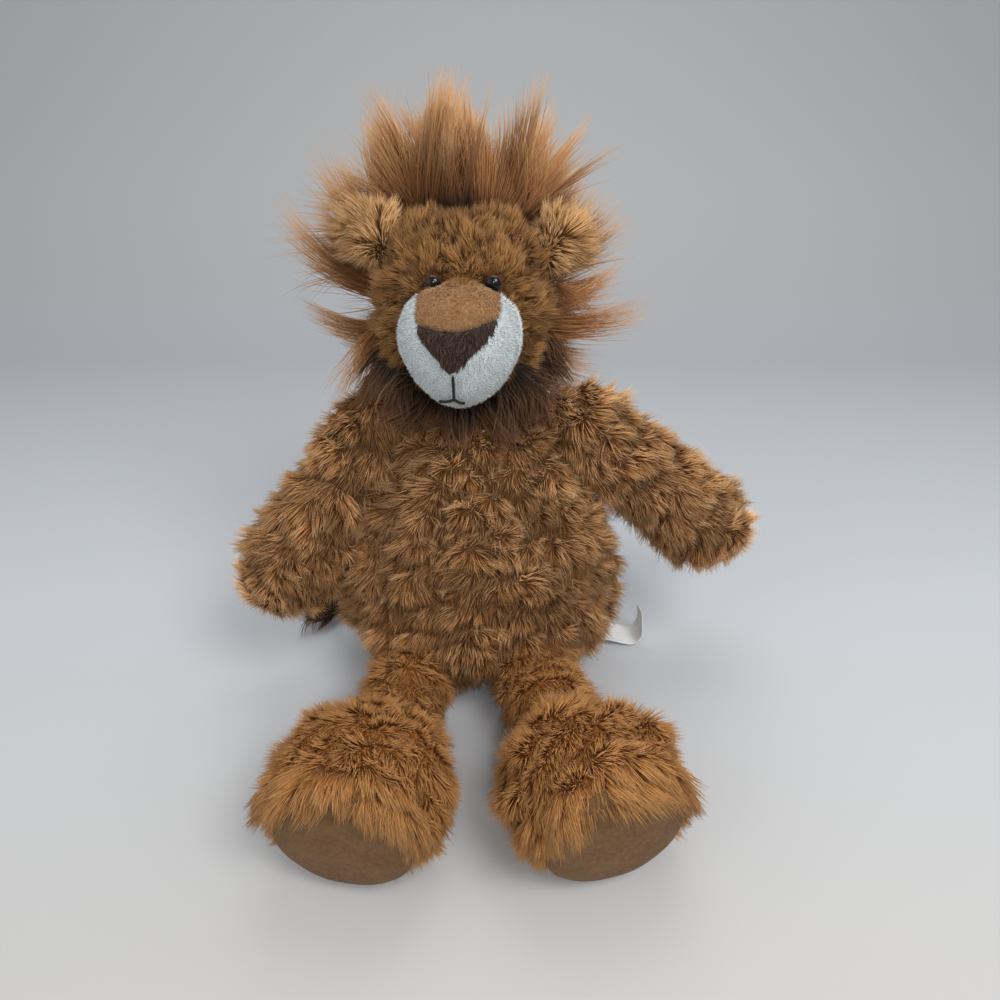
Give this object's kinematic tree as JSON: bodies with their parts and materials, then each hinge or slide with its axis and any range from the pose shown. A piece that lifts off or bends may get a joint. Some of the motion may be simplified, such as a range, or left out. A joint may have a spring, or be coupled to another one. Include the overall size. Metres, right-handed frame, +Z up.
{
  "type": "plush lion",
  "caption": "Seated soft toy lion with a turning head, bending ears and tail, jointed limbs, long mane, suede soles, a weighted seat and a bare side label.",
  "frame": {"origin": "on the flat face that the torso sits on, under the middle of the torso", "axes": "+Z up, -Y towards the face and the feet, +X towards the lion's left arm"},
  "size_m": [0.3211, 0.29, 0.3477],
  "materials": {
    "body_fur": "clumped long pile",
    "leg_fur": "clumped long pile",
    "mane_fur": "long locks",
    "polyester_filling": "soft fibre",
    "pellet_cloth": "plain weave",
    "seam_thread": "twisted thread",
    "eye_black": "polished",
    "washer_white": "moulded",
    "muzzle_plush": "short plush",
    "bridge_velour": "short velour",
    "nose_embroidery": "satin stitch",
    "mouth_thread": "twisted thread",
    "sole_suede": "brushed suede cloth",
    "label_tape": "woven tape"
  },
  "bodies": {
    "torso": {"torso_cover": "body_fur", "closing_seam": "seam_thread", "torso_filling": "polyester_filling", "pellet_bag": "pellet_cloth"},
    "neck": {"neck_seam": "seam_thread"},
    "head": {"head_cover": "body_fur", "head_filling": "polyester_filling", "right_eye": "eye_black", "right_eye_washer": "washer_white", "left_eye": "eye_black", "left_eye_washer": "washer_white", "muzzle": "muzzle_plush", "muzzle_bridge": "bridge_velour", "nose_patch": "nose_embroidery", "mouth_stitch": "mouth_thread", "mane_top": "mane_fur", "mane_right": "mane_fur", "mane_left": "mane_fur", "mane_back": "mane_fur"},
    "right_ear": {"right_ear": "leg_fur"},
    "left_ear": {"left_ear": "leg_fur"},
    "right_arm": {"right_arm_cover": "body_fur", "right_arm_filling": "polyester_filling"},
    "left_arm": {"left_arm_cover": "body_fur", "left_arm_filling": "polyester_filling"},
    "right_leg": {"right_leg_cover": "leg_fur", "right_leg_filling": "polyester_filling"},
    "left_leg": {"left_leg_cover": "leg_fur", "left_leg_filling": "polyester_filling"},
    "right_foot": {"right_foot_cover": "leg_fur", "right_foot_filling": "polyester_filling", "right_sole": "sole_suede"},
    "left_foot": {"left_foot_cover": "leg_fur", "left_foot_filling": "polyester_filling", "left_sole": "sole_suede"},
    "tail": {"tail_cover": "leg_fur", "tail_tuft": "mane_fur"},
    "label": {"care_label": "label_tape"}
  },
  "joints": [
    {"name": "head_turn", "type": "hinge", "parent": "torso", "child": "neck", "pos_m": [-0.004, 0, 0.1916], "axis": [0, 0, 1], "range_deg": [-35, 35]},
    {"name": "head_nod", "type": "hinge", "parent": "neck", "child": "head", "pos_m": [-0.004, 0, 0.1916], "axis": [1, 0, 0], "range_deg": [-12, 12]},
    {"name": "right_ear_bend", "type": "hinge", "parent": "head", "child": "right_ear", "pos_m": [-0.04573, -0.00769, 0.27032], "axis": [0.5874, -0.1167, 0.8009], "range_deg": [-8, 9]},
    {"name": "left_ear_bend", "type": "hinge", "parent": "head", "child": "left_ear", "pos_m": [0.03452, -0.00769, 0.26612], "axis": [0.5004, 0.1167, -0.8579], "range_deg": [-8, 9]},
    {"name": "right_shoulder", "type": "hinge", "parent": "torso", "child": "right_arm", "pos_m": [-0.06188, 0, 0.16544], "axis": [0, 1, 0], "range_deg": [0, 50]},
    {"name": "left_shoulder", "type": "hinge", "parent": "torso", "child": "left_arm", "pos_m": [0.06188, 0, 0.16544], "axis": [0, -1, 0], "range_deg": [-16, 34]},
    {"name": "right_hip", "type": "hinge", "parent": "torso", "child": "right_leg", "pos_m": [-0.038, -0.05248, 0.0275], "axis": [0.9863, -0.165, 0], "range_deg": [-6, 52]},
    {"name": "left_hip", "type": "hinge", "parent": "torso", "child": "left_leg", "pos_m": [0.03, -0.05248, 0.0275], "axis": [0.9659, 0.2588, 0], "range_deg": [-6, 52]},
    {"name": "right_ankle", "type": "hinge", "parent": "right_leg", "child": "right_foot", "pos_m": [-0.05054, -0.12743, 0.025], "axis": [0.9863, -0.165, 0], "range_deg": [-18, 10]},
    {"name": "left_ankle", "type": "hinge", "parent": "left_leg", "child": "left_foot", "pos_m": [0.04967, -0.12589, 0.025], "axis": [0.9659, 0.2588, 0], "range_deg": [-18, 10]},
    {"name": "tail_swing", "type": "hinge", "parent": "torso", "child": "tail", "pos_m": [0, 0.06235, 0.0085], "axis": [0, 0, 1], "range_deg": [-110, 0]},
    {"name": "label_flap", "type": "hinge", "parent": "torso", "child": "label", "pos_m": [0.07461, 0, 0.009], "axis": [0, -1, 0], "range_deg": [0, 8]}
  ]
}
